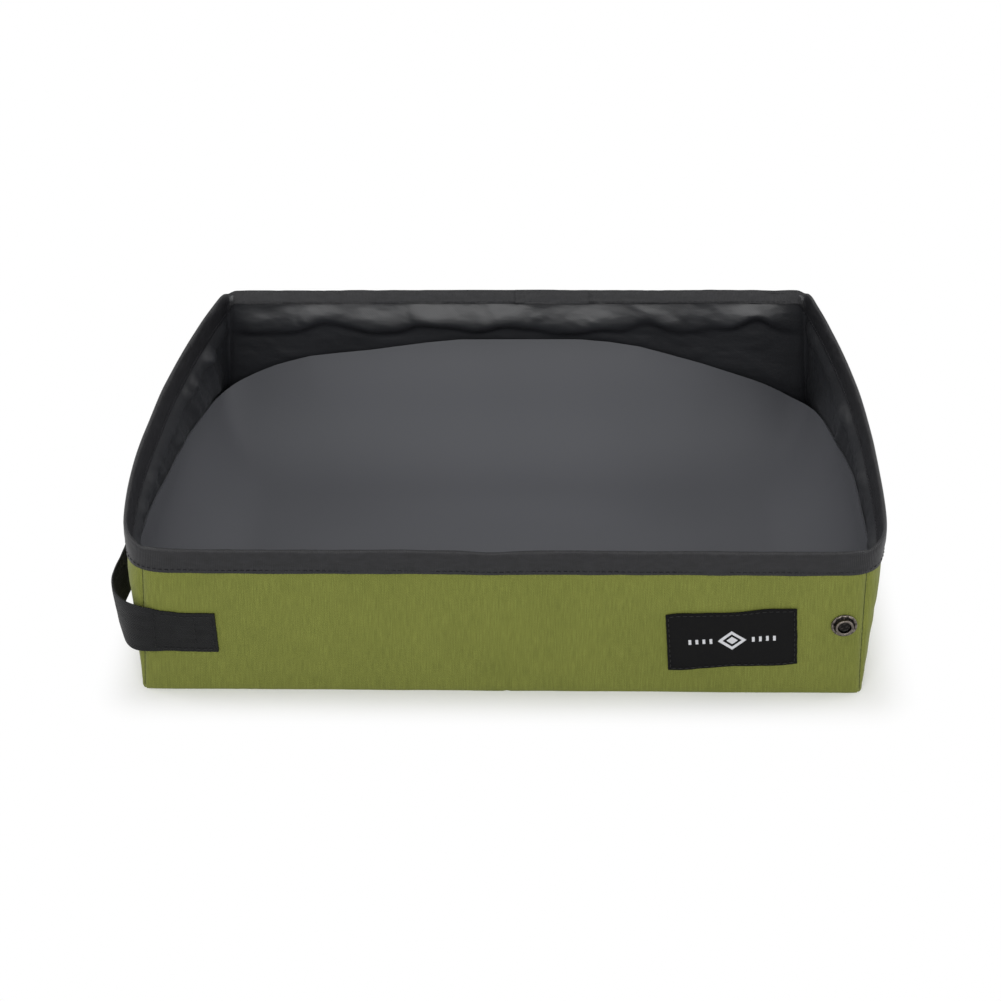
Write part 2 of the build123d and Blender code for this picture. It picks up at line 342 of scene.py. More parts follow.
@cache
def label_satin():
    """Damask-woven satin label: fine level ribs, with a pale woven lozenge and bars."""
    colours = bpy.context.scene.litter_colours
    made, tree = new_material("damask_woven_label")
    weft, rib = thread_waves(tree, in_threads(tree, 0.7 * MM, 0.7 * MM, "label"), 2 * math.pi)
    flat = in_threads(tree, MM, MM, "label")
    sideways, upright = (
        add_node(tree, "ShaderNodeMath", {
            0: add_node(tree, "ShaderNodeSeparateXYZ", {0: flat}, output=axis)},
            operation="ABSOLUTE") for axis in ("X", "Y"))
    # Nested lozenges in the middle, with a row of short upright bars to each side
    diagonal = mixture(tree, (sideways, 1.0), (upright, 1.2))
    centre = add_node(tree, "ShaderNodeMath", {0: diagonal, 1: 3.0}, operation="LESS_THAN")
    ring = add_node(tree, "ShaderNodeMath", {0: diagonal, 1: 6.4, 2: 1.3}, operation="COMPARE")
    repeat = add_node(tree, "ShaderNodeMath", {0: sideways, 1: 1.9}, operation="PINGPONG")
    bar = add_node(tree, "ShaderNodeMath", {0: repeat, 1: 0.75}, operation="LESS_THAN")
    run = add_node(tree, "ShaderNodeMath", {0: sideways, 1: 17.1, 2: 6.6}, operation="COMPARE")
    tall = add_node(tree, "ShaderNodeMath", {0: upright, 1: 1.6}, operation="LESS_THAN")
    bars = add_node(tree, "ShaderNodeMath", {0: bar, 1: add_node(
        tree, "ShaderNodeMath", {0: run, 1: tall}, operation="MULTIPLY")},
        operation="MULTIPLY")
    pattern = mixture(tree, (centre, 1.0), (ring, 1.0), (bars, 1.0))
    colour = add_node(tree, "ShaderNodeMix", {
        0: pattern, 6: rgba(colours.label), 7: rgba(linear("C4C5C9"))}, output=2,
        data_type="RGBA")
    surface(tree, colour, mixture(tree, (rib, 0.5), (weft, 0.25), (pattern, 1.0)),
            (0.4, 0.2 * MM), **{"Roughness": 0.6, "Specular IOR Level": 0.1})
    return made


@cache
def gunmetal():
    """Gunmetal-plated brass: dark mirror plating, paler on its sharp edges, partly as rubbed
    wear and partly as a painted highlight.
    """
    made, tree = new_material("gunmetal_plated_brass")
    place = add_node(tree, "ShaderNodeTexCoord", output="Object")
    rubbed = add_node(tree, "ShaderNodeTexNoise", {
        "Vector": place, "Scale": 1 / (1.5 * MM), "Detail": 4.0, "Roughness": 0.6})
    # Pale colour on the sharp edges, found by pointiness, is a painted highlight; the noise
    # adds some rubbed wear
    edge = add_node(tree, "ShaderNodeNewGeometry", output="Pointiness")
    colour = add_node(tree, "ShaderNodeValToRGB", {
        "Fac": mixture(tree, (rubbed, 0.3), (edge, 1.0))}, stops=(
            (0.6, linear("1E1D1C")), (0.8, linear("8C837B"))))
    fine = add_node(tree, "ShaderNodeTexNoise", {"Vector": place, "Scale": 1 / (0.3 * MM)})
    surface(tree, colour, fine, (0.15, 0.05 * MM), **{"Roughness": 0.28, "Metallic": 1.0})
    return made


@cache
def stiffener():
    """Extruded polypropylene board: pale, dull, with a faint haze of scuffs."""
    made, tree = new_material("polypropylene_board")
    place = add_node(tree, "ShaderNodeTexCoord", output="Object")
    haze = add_node(tree, "ShaderNodeTexNoise", {
        "Vector": place, "Scale": 1 / (14 * MM), "Detail": 3.0})
    colour = add_node(tree, "ShaderNodeValToRGB", {"Fac": haze}, stops=(
        (0.3, linear("B9B9B4")), (0.7, linear("C9C9C4"))))
    surface(tree, colour, **{"Roughness": 0.6})
    return made


# The box's outer cloth seen from above

RING_STEP = 1 * MM
RING_LEVELS = 13
# How far each side wall bows out from front to back, as shares of its depth and its bow
BOW_SHARES = {
    "left": ((0, 0.2), (0.03, 0.5), (0.067, 0.64), (0.12, 0.76), (0.2, 0.9), (0.29, 0.98),
             (0.37, 1), (0.47, 0.96), (0.56, 0.92), (0.66, 0.79), (0.763, 0.6),
             (0.873, 0.38), (0.947, 0.13), (1, 0)),
    "right": ((0, 0.25), (0.027, 0.58), (0.077, 0.72), (0.127, 0.8), (0.21, 0.87),
              (0.29, 0.92), (0.38, 0.96), (0.47, 0.94), (0.56, 0.9), (0.66, 0.77),
              (0.763, 0.58), (0.87, 0.35), (0.947, 0.1), (1, 0)),
}
BOW_RISE = 0.62               # the bow's power of the height: it fills out low down
CORNER_RISE = {"left": 0.45, "right": 0.6}     # more of that power at the front corners
FOOT_SHIFT = -2.6 * MM        # how far the soft front stands over at its foot
FOOT_BOW = 0.6 * MM
TAPE = 0.8 * MM               # from the outer cloth to the tape's face
TAPE_CLOTH = 0.7 * MM
WALL_THICK = HALF_DEPTH - LINING_FACE
SIDE_THICK = 1.9 * MM         # of a soft side wall, cloth and lining
THICKNESS_RUN = 16.0          # ring steps over which a wall thins past a corner
CLOSING_FROM = 90.5 * MM      # above the boards the wall closes up to the rim
CLOSING_RUN = 4.5 * MM
RIM_CLOSING = 0.75            # share of the boards' thickness that is gone there
RIM_WAVE = 0.5 * MM
RISE_FROM = BINDING_FOOT - 6 * MM              # the cloth goes with the rim from here up
RISE_RUN = 14 * MM
RIM_DIP = 1.2 * MM            # how far the front rim sags at the crease
DIP_SHIFT = 6                 # ring steps from the front's middle to that dip
DIP_RUN = 9.0                 # and its half width
FRONT_SAG = 1.9 * MM          # how far the whole front rim sags between its corners
# Smoothing of the corners, at the foot and at the rim
CORNER_ROUNDS = {"left": (1.2 * MM, 11 * MM), "right": (1.2 * MM, 8.5 * MM),
                 "back": (1.5 * MM, 7 * MM)}


def smoothed(points, spread):
    """Closed ring of points run through a bell curve of that spread."""
    reach = int(4 * spread / RING_STEP) + 1
    offsets = np.arange(-reach, reach + 1)
    weights = np.exp(-0.5 * (offsets * RING_STEP / spread) ** 2)
    weights /= weights.sum()
    padded = np.concatenate([points[-reach:], points, points[:reach]])
    return np.stack([np.convolve(padded[:, i], weights, "valid") for i in (0, 1)], 1)


def bow_at(side, depth, share):
    """How far a side wall bows out at shares of its depth and height."""
    sizes = bpy.context.scene.litter_sizes
    bow = sizes.left_bow if side == "left" else sizes.right_bow
    bulge = np.interp(depth, *zip(*BOW_SHARES[side]))
    power = BOW_RISE + CORNER_RISE[side] * np.exp(-(depth / 0.075) ** 2)
    return FOOT_BOW + (bow * bulge - FOOT_BOW) * share ** power


def foot_shift(y, share):
    return FOOT_SHIFT * (1 - share) * np.clip(-y / HALF_DEPTH, 0, 1)


class Outline:
    """Rings of the outer cloth at levels from the foot to the rim. A ring starts at the
    front left corner and runs along the front, right, back and left walls."""

    def __init__(self, sizes):
        self.sizes = sizes
        self.front = round(sizes.box_width / RING_STEP)
        self.side = round(2 * HALF_DEPTH / RING_STEP)
        self.corners = np.cumsum([0, self.front, self.side, self.front, self.side])
        self.rings = np.array([self.ring(i / (RING_LEVELS - 1)) for i in range(RING_LEVELS)])
        ahead = np.roll(self.rings, -1, 1) - np.roll(self.rings, 1, 1)
        self.normals = np.stack([ahead[..., 1], -ahead[..., 0]], -1)
        self.normals /= np.linalg.norm(self.normals, axis=-1, keepdims=True)

    def ring(self, share):
        corner = self.sizes.box_width / 2 - self.sizes.rim_lean * share
        along = np.arange(self.front) / self.front * 2 - 1
        depth = np.arange(self.side) / self.side
        y_up = HALF_DEPTH * (2 * depth - 1)
        right = corner + bow_at("right", depth, share)
        left = -corner - bow_at("left", 1 - depth, share)
        points = np.concatenate([
            np.stack([corner * along, np.full(self.front, -HALF_DEPTH)], 1),
            np.stack([right, y_up], 1),
            np.stack([-corner * along, np.full(self.front, HALF_DEPTH)], 1),
            np.stack([left, -y_up], 1),
        ])
        made = {name: smoothed(points, np.interp(share, (0, 1), spreads))
                for name, spreads in CORNER_ROUNDS.items()}
        toward_right = np.clip(points[:, :1] / (2 * corner) + 0.5, 0, 1)
        toward_back = np.clip(points[:, 1:] / (2 * HALF_DEPTH) + 0.5, 0, 1)
        front = made["left"] * (1 - toward_right) + made["right"] * toward_right
        ring = front * (1 - toward_back) + made["back"] * toward_back
        ring[:, 0] += foot_shift(ring[:, 1], share)
        return ring

    def at(self, place, z, out=0.0):
        """Point at a place counted in ring steps, at a height, that far outside the cloth."""
        level = min(max(z / RIM_TOP, 0.0), 1.0) * (RING_LEVELS - 1)
        lower = min(int(level), RING_LEVELS - 2)
        rise = level - lower
        count = self.corners[-1]
        first = int(math.floor(place)) % count
        second = (first + 1) % count
        part = place - math.floor(place)

        def pick(table):
            below = table[lower, first] * (1 - part) + table[lower, second] * part
            above = table[lower + 1, first] * (1 - part) + table[lower + 1, second] * part
            return below * (1 - rise) + above * rise

        x, y = pick(self.rings) + pick(self.normals) * out
        return Vector((x, y, z))


WALLS = ("front", "right", "back", "left")
BOARDED = ("front", "back")


def wall_places(outline, wall, start=0.0, end=1.0):
    """First and last place of a wall, or of a share of it, along the ring."""
    index = WALLS.index(wall)
    first, last = outline.corners[index], outline.corners[index + 1]
    return first + (last - first) * start, first + (last - first) * end


def boarded_share(ring, place):
    """1 along the boarded walls, 0 along the soft sides, easing over at the corners."""
    place = place % ring.corners[-1]
    share = 0.0
    for first, last in ((ring.corners[0], ring.corners[1]), (ring.corners[2], ring.corners[3])):
        for turn in (0, ring.corners[-1], -ring.corners[-1]):
            inside = min(place + turn - first, last - place - turn)
            share = max(share, smooth_step(0.5 + inside / THICKNESS_RUN))
    return share


def wall_thickness(ring, place, z):
    """Thickness of cloth, board and lining, which close up above the boards."""
    extra = (WALL_THICK - SIDE_THICK) * boarded_share(ring, place)
    closing = RIM_CLOSING * smooth_step((z - CLOSING_FROM) / CLOSING_RUN)
    return SIDE_THICK + extra * (1 - closing)


def rim_lift(ring, place):
    """How far the rim stands above or below its mean height."""
    at = ring.at(place, RIM_TOP)
    wave = RIM_WAVE * ripple(at.x, at.y, 8.8, 38 * MM)
    dip = (ring.corners[0] + ring.corners[1]) / 2 - DIP_SHIFT
    sag = FRONT_SAG * smooth_step((HALF_DEPTH - at.y) / (2 * HALF_DEPTH) * 20 - 19)
    return wave - sag - RIM_DIP * math.exp(-0.5 * ((place - dip) / DIP_RUN) ** 2)


def rim_rise(ring, place, z):
    """How far a point at a height goes up or down with the rim above it."""
    return rim_lift(ring, place) * smooth_step((z - RISE_FROM) / RISE_RUN)


def ripple(x, y, seed, size):
    """Smooth noise between -1 and 1, with hills of about that size."""
    return noise.noise(Vector((x / size, y / size, seed)))


def folds(x, y, seed, size, octaves=3):
    return noise.fractal(Vector((x / size, y / size, seed)), 0.8, 2.0, octaves)


def smooth_step(value):
    value = min(max(value, 0.0), 1.0)
    return value * value * (3 - 2 * value)


# Building cloth pieces

def cloth_piece(name, across, along, place, flat, material, thickness, outward,
                layer="cloth", edge_round=0.0):
    """A sheet made from a grid: place(a, b) puts each corner of the grid, and flat(a, b)
    is its spot on the cloth before sewing, both for a and b from 0 to 1."""
    built = bmesh.new()
    spots_layer = built.loops.layers.uv.new(layer)
    bmesh.ops.create_grid(built, x_segments=across, y_segments=along, size=0.5)
    built.verts.ensure_lookup_table()
    spots = [(v.co.x + 0.5, v.co.y + 0.5) for v in built.verts]
    for vertex, (a, b) in zip(built.verts, spots):
        vertex.co = place(a, b)
    for face in built.faces:
        face.smooth = True
        for loop in face.loops:
            loop[spots_layer].uv = flat(*spots[loop.vert.index])
    built.normal_update()
    facing = sum(face.normal.dot(outward(face.calc_center_median())) for face in built.faces)
    if facing < 0:
        bmesh.ops.reverse_faces(built, faces=built.faces[:])
    for edge in built.edges:
        edge.smooth = not edge.is_boundary
    piece = finished(name, built, material)
    if thickness:
        wall = piece.modifiers.new("cloth thickness", "SOLIDIFY")
        wall.thickness = thickness
        wall.offset = -1
    if edge_round:
        rounding = piece.modifiers.new("soft edges", "BEVEL")
        rounding.width = edge_round
        rounding.segments = 2
        rounding.limit_method = "ANGLE"
    return piece


def finished(name, built, material, smooth=True):
    mesh = bpy.data.meshes.new(name)
    for face in built.faces:
        face.smooth = smooth
    built.to_mesh(mesh)
    built.free()
    piece = bpy.data.objects.new(name, mesh)
    bpy.context.scene.collection.objects.link(piece)
    piece.data.materials.append(material)
    return piece


def from_middle(point):
    """Outward from the middle of the box, level."""
    return Vector((point.x / 4, point.y, 0)) if abs(point.y) > 0.1 else Vector((point.x, 0, 0))


@cache
def outline():
    return Outline(bpy.context.scene.litter_sizes)


def take_place(piece, slot, *nodes):
    """The piece stands for those solids, which are hidden; the slot is not used."""
    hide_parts(*nodes)


# Outer cloth

SEAM_WIDTH = 2.0 * MM         # half of the groove at a corner seam
SEAM_DEPTH = 1.0 * MM
FOOT_ROUND = 2.4 * MM         # height over which the foot turns under
FOOT_TUCK = 0.6 * MM
CREASE_X = 1.5 * MM           # the front's crease mark, right of the middle
CREASE_WIDTH = 0.9 * MM
CREASE_DEPTH = 0.7 * MM
COVER_STEP = 2 * MM
COVER_CLOTH = 0.9 * CLOTH
COVER_WAVE = 0.3 * MM         # how unevenly the stretched cloth lies
SIDE_WAVE = 1.2 * MM          # and how much more on the soft side walls
SEAM_HOLD = 9 * MM            # the cloth lies even this near a corner seam
TAPE_HOLD = 16 * MM           # and this near the tape


def bend_at_crease(piece):
    """The piece crosses the mid crease; its place is baked into its mesh."""
    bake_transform(piece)


def press_flat(piece, side):
    """A soft side wall's piece rides on its base half, with a mesh of its own."""
    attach(piece, f"base_{side}")
    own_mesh(piece)


def sew_walls(make, part, slot):
    """Makes one piece for each wall: the boarded walls' pieces cross the mid crease,
    and the soft side walls' ride on their base halves."""
    for wall in BOARDED:
        piece = make(wall)
        take_place(piece, slot, f"{wall}_{part}_left", f"{wall}_{part}_right")
        bend_at_crease(piece)
    for side in SIDES:
        piece = make(side)
        take_place(piece, slot, f"side_{part}_{side}")
        press_flat(piece, side)


def cover_offset(wall, place, z, first, last):
    """How far the outer cloth stands out: it is drawn in at its seams, foot and crease."""
    ring = outline()
    sag = COVER_WAVE * (1 + folds(place * RING_STEP, z, 3.1, 60 * MM))
    if wall in SIDES:
        sag += SIDE_WAVE * (folds(place * RING_STEP, 1.6 * z, 7.7, 55 * MM) + 0.4)
    from_seam = min(place - first, last - place) * RING_STEP
    sag *= smooth_step(from_seam / SEAM_HOLD)
    sag *= smooth_step((BINDING_FOOT + 1 * MM - z) / TAPE_HOLD)
    if from_seam < SEAM_WIDTH:
        sag -= SEAM_DEPTH * (1 - from_seam / SEAM_WIDTH) ** 2
    if z < FOOT_ROUND:
        sag -= FOOT_TUCK * (1 - z / FOOT_ROUND) ** 2
    if wall in BOARDED:
        x = ring.at(place, z).x
        sag -= CREASE_DEPTH * math.exp(-0.5 * ((x - CREASE_X) / CREASE_WIDTH) ** 2)
    return sag


def cover(wall):
    ring = outline()
    first, last = wall_places(ring, wall)
    length = (last - first) * RING_STEP

    def place(a, b):
        spot = first + (last - first) * a
        z = WALL_TOP * b
        at = ring.at(spot, z, cover_offset(wall, spot, z, first, last))
        at.z += rim_rise(ring, spot, z)
        return at

    def flat(a, b):
        return (length * a, WALL_TOP * b)

    return cloth_piece(f"{wall}_cover", round(length / COVER_STEP),
                       round(WALL_TOP / COVER_STEP), place, flat, canvas(),
                       COVER_CLOTH, from_middle)


BASE_EDGE_DEPTH = 148.6 * MM
FLOOR_EDGE_DEPTH = 145.8 * MM
BASE_HEM = 0.6 * MM           # how far the base cloths end inside the side walls' foot
BASE_WAVE = 0.12 * MM
BASE_EVEN = 0.35              # 1 spaces the columns evenly, less draws them to the crease
BASE_GRID = (132, 60)


def base_cloth(name, z, thickness, look, facing):
    """A level cloth over the whole base, with finer columns at the mid crease."""
    depth = BASE_EDGE_DEPTH if facing < 0 else FLOOR_EDGE_DEPTH
    width = bpy.context.scene.litter_sizes.box_width / 2 - BASE_HEM

    def across(a):
        share = 2 * a - 1
        return width * (BASE_EVEN * share + (1 - BASE_EVEN) * share ** 3)

    def place(a, b):
        x = across(a)
        y = depth * (2 * b - 1)
        wave = BASE_WAVE * (1 + folds(x, y, 5.5, 45 * MM)) / 2
        return Vector((x + foot_shift(y, 0), y, z - facing * wave))

    def flat(a, b):
        return (width + across(a), 2 * depth * b)

    return cloth_piece(name, *BASE_GRID, place, flat, look, thickness,
                       lambda point: Vector((0, 0, facing)))


class LITTERBOX_OT_covers(bpy.types.Operator):
    """Sews the outer canvas of the four walls and the base"""
    bl_idname = "litterbox.covers"
    bl_label = "Outer canvas"

    def execute(self, context):
        sew_walls(cover, "cover", "green_canvas")
        piece = base_cloth("bottom_cloth", 0, COVER_CLOTH, canvas(), facing=-1)
        take_place(piece, "green_canvas",
                   "bottom_cover_left", "bottom_cover_right", "bottom_spine")
        bend_at_crease(piece)
        return {"FINISHED"}


# Linings

LINING_STEP = 2 * MM          # the lining's grid, along the wall
LINING_ROW = 1.35 * MM        # and up it, fine enough for the roll
LINING_CLOTH = 0.6 * MM
INNER_FOOT = 89.5 * MM        # lower edge of the tape inside the boarded walls
BULGE_DEPTH = 4.2 * MM        # how far the slack lining rolls in under the rim
BULGE_CREST = 71 * MM
BULGE_TUCK = 7 * MM           # height over which it turns back under the roll
# Where the roll's lower edge is drawn up, along the wall, and how far, in mm
SCALLOPS = ((-129, 7), (-113, 4), (-62, 6), (-42, 4), (-8, 5), (10, 3), (58, 3), (88, 8),
            (132, 4), (160, 11))
SCALLOP_RUN = 9 * MM
CREST_WAVE = 1.0 * MM
LINING_CREASE = 0.6 * MM
LINER_HOLD = 7 * MM           # height above the liner over which the lining comes free
SIDE_TAPE_HOLD = 12 * MM      # height below the side walls' tape over which it does
SIDE_CREST_WAVE = 3.5 * MM    # how much the side linings' rolls rise and fall
SIDE_FOLD = 4.5 * MM          # depth of their broad folds
SIDE_CRINKLE = 0.8 * MM       # and of their fine ones
SIDE_FOLD_SLANT = 0.5         # how far these run along the wall for their height
# How near a corner a lining flattens
LINING_ENDS = {"side": 12 * MM, "boarded": 30 * MM}


def roll_profile(z, crest, depth, top):
    """Slack cloth under the rim: it leans in down to its crest, then tucks back."""
    if z >= crest:
        rise = min(max((top - z) / (top - crest), 0.0), 1.0)
        return depth * math.sin(rise * math.pi / 2) ** 1.3
    fall = min((crest - z) / BULGE_TUCK, 1.0)
    return depth * (0.5 + 0.5 * math.cos(fall * math.pi))


def straight_lining_offset(wall, x, z):
    """How far a boarded wall's lining stands in: a scalloped roll, then creases."""
    crest = BULGE_CREST + CREST_WAVE * ripple(x, 0, 2.2, 50 * MM)
    for at, height in SCALLOPS:
        crest += 0.9 * height * MM * math.exp(-0.5 * ((x - at * MM) / SCALLOP_RUN) ** 2)
    depth = BULGE_DEPTH * (1 + 0.55 * ripple(x, 0, 9.4, 30 * MM))
    roll = roll_profile(z, crest, depth, INNER_FOOT)
    crease = LINING_CREASE * min(abs(folds(x + 0.4 * z, 1.5 * z, 4.4, 26 * MM)), 1.5)
    return roll + crease * above_liner(wall, x, z)


def above_liner(wall, along, z):
    """0 where the liner presses the lining flat, 1 where it hangs free above it."""
    return smooth_step((z - liner_edge(wall, along)) / LINER_HOLD + 0.2)


def side_lining_offset(side, y, z):
    """How far a side lining stands in: a soft roll, and big folds that fan down from it."""
    seed = 11.0 if side == "left" else 17.0
    crest = BULGE_CREST + SIDE_CREST_WAVE * ripple(y, 0, seed, 34 * MM)
    roll = roll_profile(z, crest, 0.6 * BULGE_DEPTH, BINDING_FOOT)
    slanted = y + SIDE_FOLD_SLANT * (z - RIM_TOP)
    broad = SIDE_FOLD * max(folds(slanted, 0.5 * z, seed, 34 * MM) + 0.1, 0)
    fine = SIDE_CRINKLE * abs(folds(slanted, z, seed + 3, 15 * MM))
    free = smooth_step((BINDING_FOOT - z) / SIDE_TAPE_HOLD)
    return roll + (broad + fine) * free * above_liner(side, y, z)


def wall_lining(wall):
    """Lining of one wall, which keeps to the wall's own thickness."""
    ring = outline()
    first, last = wall_places(ring, wall)
    length = (last - first) * RING_STEP
    foot = FLOOR if wall in SIDES else 0.0
    fade = LINING_ENDS["side" if wall in SIDES else "boarded"]

    def place(a, b):
        spot = first + (last - first) * a
        z = foot + (WALL_TOP - foot) * b
        thick = wall_thickness(ring, spot, z) - LINING_CLOTH
        ends = smooth_step(min(a, 1 - a) * length / fade)
        inward = 0.0
        at = ring.at(spot, z)
        if wall in SIDES and z < BINDING_FOOT:
            inward = side_lining_offset(wall, at.y, z)
        elif wall not in SIDES and z < INNER_FOOT:
            inward = straight_lining_offset(wall, at.x, z)
        at = ring.at(spot, z, -thick - inward * ends)
        at.z += rim_rise(ring, spot, z)
        return at

    def flat(a, b):
        return (length * a, WALL_TOP * b)

    return cloth_piece(f"{wall}_lining", round(length / LINING_STEP),
                       round(WALL_TOP / LINING_ROW), place, flat, lining_cloth(),
                       LINING_CLOTH, lambda point: -from_middle(point))


class LITTERBOX_OT_linings(bpy.types.Operator):
    """Hangs the black coated lining in the walls and on the floor"""
    bl_idname = "litterbox.linings"
    bl_label = "Linings"

    def execute(self, context):
        sew_walls(wall_lining, "lining", "black_lining")
        piece = base_cloth("floor_lining", FLOOR, LINING_CLOTH, lining_cloth(), facing=1)
        take_place(piece, "black_lining", "floor_lining_left", "floor_lining_right")
        bend_at_crease(piece)
        return {"FINISHED"}


# Rim binding

BINDING_STEP = 2.0 * MM
PROFILE_STEPS = 22
BACK_UNEVEN = 1.2             # how much more the tape puckers along the back
PATCH_LIFT = 0.9 * MM         # how far the patch stands off the tape that it joins
TAPE_CROWN = 2.6 * MM         # width of the tape's fold over the rim
# Points of that fold: share of its width from the outer face, and height at the rim, in mm
CROWN_POINTS = ((0, -1.9), (0.2, -0.3), (0.5, 0.25), (0.8, -0.4), (1, -2.1))
INNER_BEND = 6.4 * MM         # from the rim down to where the inner leg hangs straight
TAPE_MAP_WIDTH = 36 * MM      # the tape's width on its flat cloth map
FOOT_WAVER = 0.35 * MM        # how unevenly its lower edge runs
FOOT_RUN = 10 * MM            # height over which that evens out
TAPE_PUFF = 0.35 * MM
TAPE_PUCKER = 0.18 * MM
TAPE_DENT = 0.1 * MM          # and how far it may sink in


def tape_section(width, inner_foot):
    """The folded tape's section, as (share along it, distance outside the cloth, height)
    rows: up its outer leg, over the crown and down its inner leg."""
    crown = min(width, TAPE_CROWN)
    over = [(TAPE - share * crown, RIM_TOP + rise * MM) for share, rise in CROWN_POINTS]
    corners = np.array([(TAPE, BINDING_FOOT), *over, (TAPE - width, RIM_TOP - INNER_BEND),
                        (TAPE - width, inner_foot)])
    for _ in range(2):
        cut = np.stack([corners[:-1] * 0.75 + corners[1:] * 0.25,
                        corners[:-1] * 0.25 + corners[1:] * 0.75], 1).reshape(-1, 2)
        corners = np.concatenate([corners[:1], cut, corners[-1:]])
    run = np.r_[0, np.cumsum(np.linalg.norm(np.diff(corners, axis=0), axis=1))]
    return np.column_stack([run / run[-1], corners])


SECTIONS = [tape_section(SIDE_THICK + 2 * TAPE, BINDING_FOOT),
            tape_section(WALL_THICK + 2 * TAPE, INNER_FOOT)]


def binding_section(share, boarded):
    """Distance outside the cloth and height on the tape, between the side walls' narrow
    section and the boarded walls' wide one."""
    narrow, wide = ([np.interp(share, rows[:, 0], rows[:, i]) for i in (1, 2)]
                    for rows in SECTIONS)
    return [n + (w - n) * boarded for n, w in zip(narrow, wide)]


def binding_strip(name, first, last, foot, extra=0.0):
    """A run of binding along the rim between two places on the ring."""
    ring = outline()
    length = (last - first) * RING_STEP

    def place(a, b):
        spot = first + (last - first) * a
        top = ring.at(spot, RIM_TOP)
        edge = foot + FOOT_WAVER * ripple(top.x, top.y, 1.5, 22 * MM)
        out, z = binding_section(b, boarded_share(ring, spot))
        if b < 0.5:
            z += (edge - BINDING_FOOT) * smooth_step(1 - (z - BINDING_FOOT) / FOOT_RUN)
        uneven = 1 + BACK_UNEVEN * smooth_step(top.y / HALF_DEPTH)
        puff = TAPE_PUFF * uneven * ripple(top.x, top.y, 5.2 + 4 * b, 15 * MM)
        pucker = TAPE_PUCKER * uneven * ripple(top.x, top.y, 2.9 + 9 * b, 6 * MM)
        swell = extra + max(puff + pucker, -TAPE_DENT)
        out += swell if b < 0.45 else -swell if b > 0.55 else 0.0
        z += extra if 0.4 < b < 0.6 else 0.0
        at = ring.at(spot, min(z, RIM_TOP), out)
        at.z = z + rim_rise(ring, spot, z)
        return at

    def flat(a, b):
        return (length * a, TAPE_MAP_WIDTH * b)

    def outward(point):
        return Vector((0, 0, 1 if point.z > WALL_TOP else 0))

    return cloth_piece(name, max(round(length / BINDING_STEP), 4), PROFILE_STEPS, place,
                       flat, binding_tape(), TAPE_CLOTH, outward)


class LITTERBOX_OT_bindings(bpy.types.Operator):
    """Folds the binding tape over the rim, with its overlap on the back wall"""
    bl_idname = "litterbox.bindings"
    bl_label = "Rim binding"

    def execute(self, context):
        ring = outline()

        def whole_wall(wall):
            return binding_strip(f"{wall}_binding", *wall_places(ring, wall), BINDING_FOOT)

        sew_walls(whole_wall, "binding", "binding_tape")
        patch_low, patch_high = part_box("binding_joint_patch")
        start, end = (ring.corners[2] + ring.front / 2 - x / RING_STEP
                      for x in (patch_high.x, patch_low.x))
        piece = binding_strip("binding_joint_patch_tape", start, end, patch_low.z,
                              extra=PATCH_LIFT)
        take_place(piece, "binding_tape", "binding_joint_patch")
        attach(piece, "back_right")
        return {"FINISHED"}


# Floor liner

LINER_CORE = 0.6              # share of the sheet's grid that lies level
LINER_BENDS = {"left": 40 * MM, "right": 40 * MM, "front": 30 * MM, "back": 95 * MM}
LINER_SQUARENESS = 12         # a superellipse's power: high for sharp corners
LINER_GAP = 2.8 * MM          # from the wall's outer face, at the sides
LINER_END_GAP = 1.4 * MM      # from the lining, at the front and back
LINER_THICKNESS = 1.2 * MM
LINER_WAVE = 0.25 * MM         # how high the sheet lies in waves
LINER_GRID = (66, 116)
LINER_FLAT = (480 * MM, 371 * MM)
# Height of the liner's upper edge along each wall: distance along it and height, in mm
LINER_EDGES = {
    "back": ((-196, 34), (-181, 38), (-160, 45), (-139, 50.5), (-118, 53), (-98, 55),
             (-78, 58), (-57, 61), (-37, 63), (43, 63), (63, 61), (83, 57.5), (103, 51.5),
             (124, 45), (144, 38), (165, 31), (186, 23), (196, 20)),
    "front": ((-196, 65), (-150, 54), (-90, 46), (0, 43), (90, 46), (150, 54), (196, 65)),
    "left": ((-150, 65), (-103, 65), (-72, 62), (-46, 58.5), (-4, 52.5), (38, 48.5),
             (75, 42.5), (117, 35), (150, 34)),
    "right": ((-150, 65), (-111, 64), (-75, 58), (-45, 56), (-13, 55), (37, 44.5),
              (87, 34.5), (120, 25), (150, 20)),
}


def liner_edge(wall, along):
    return np.interp(along / MM, *zip(*LINER_EDGES[wall])) * MM


def side_reach(side, y, z):
    """How far a side wall stands out at a height, against its foot."""
    share = min(max(z / RIM_TOP, 0), 1)
    bow = bow_at(side, y / (2 * HALF_DEPTH) + 0.5, share)
    lean = bpy.context.scene.litter_sizes.rim_lean * share
    shift = foot_shift(y, share) * (1 if side == "right" else -1)
    return bow - lean + shift


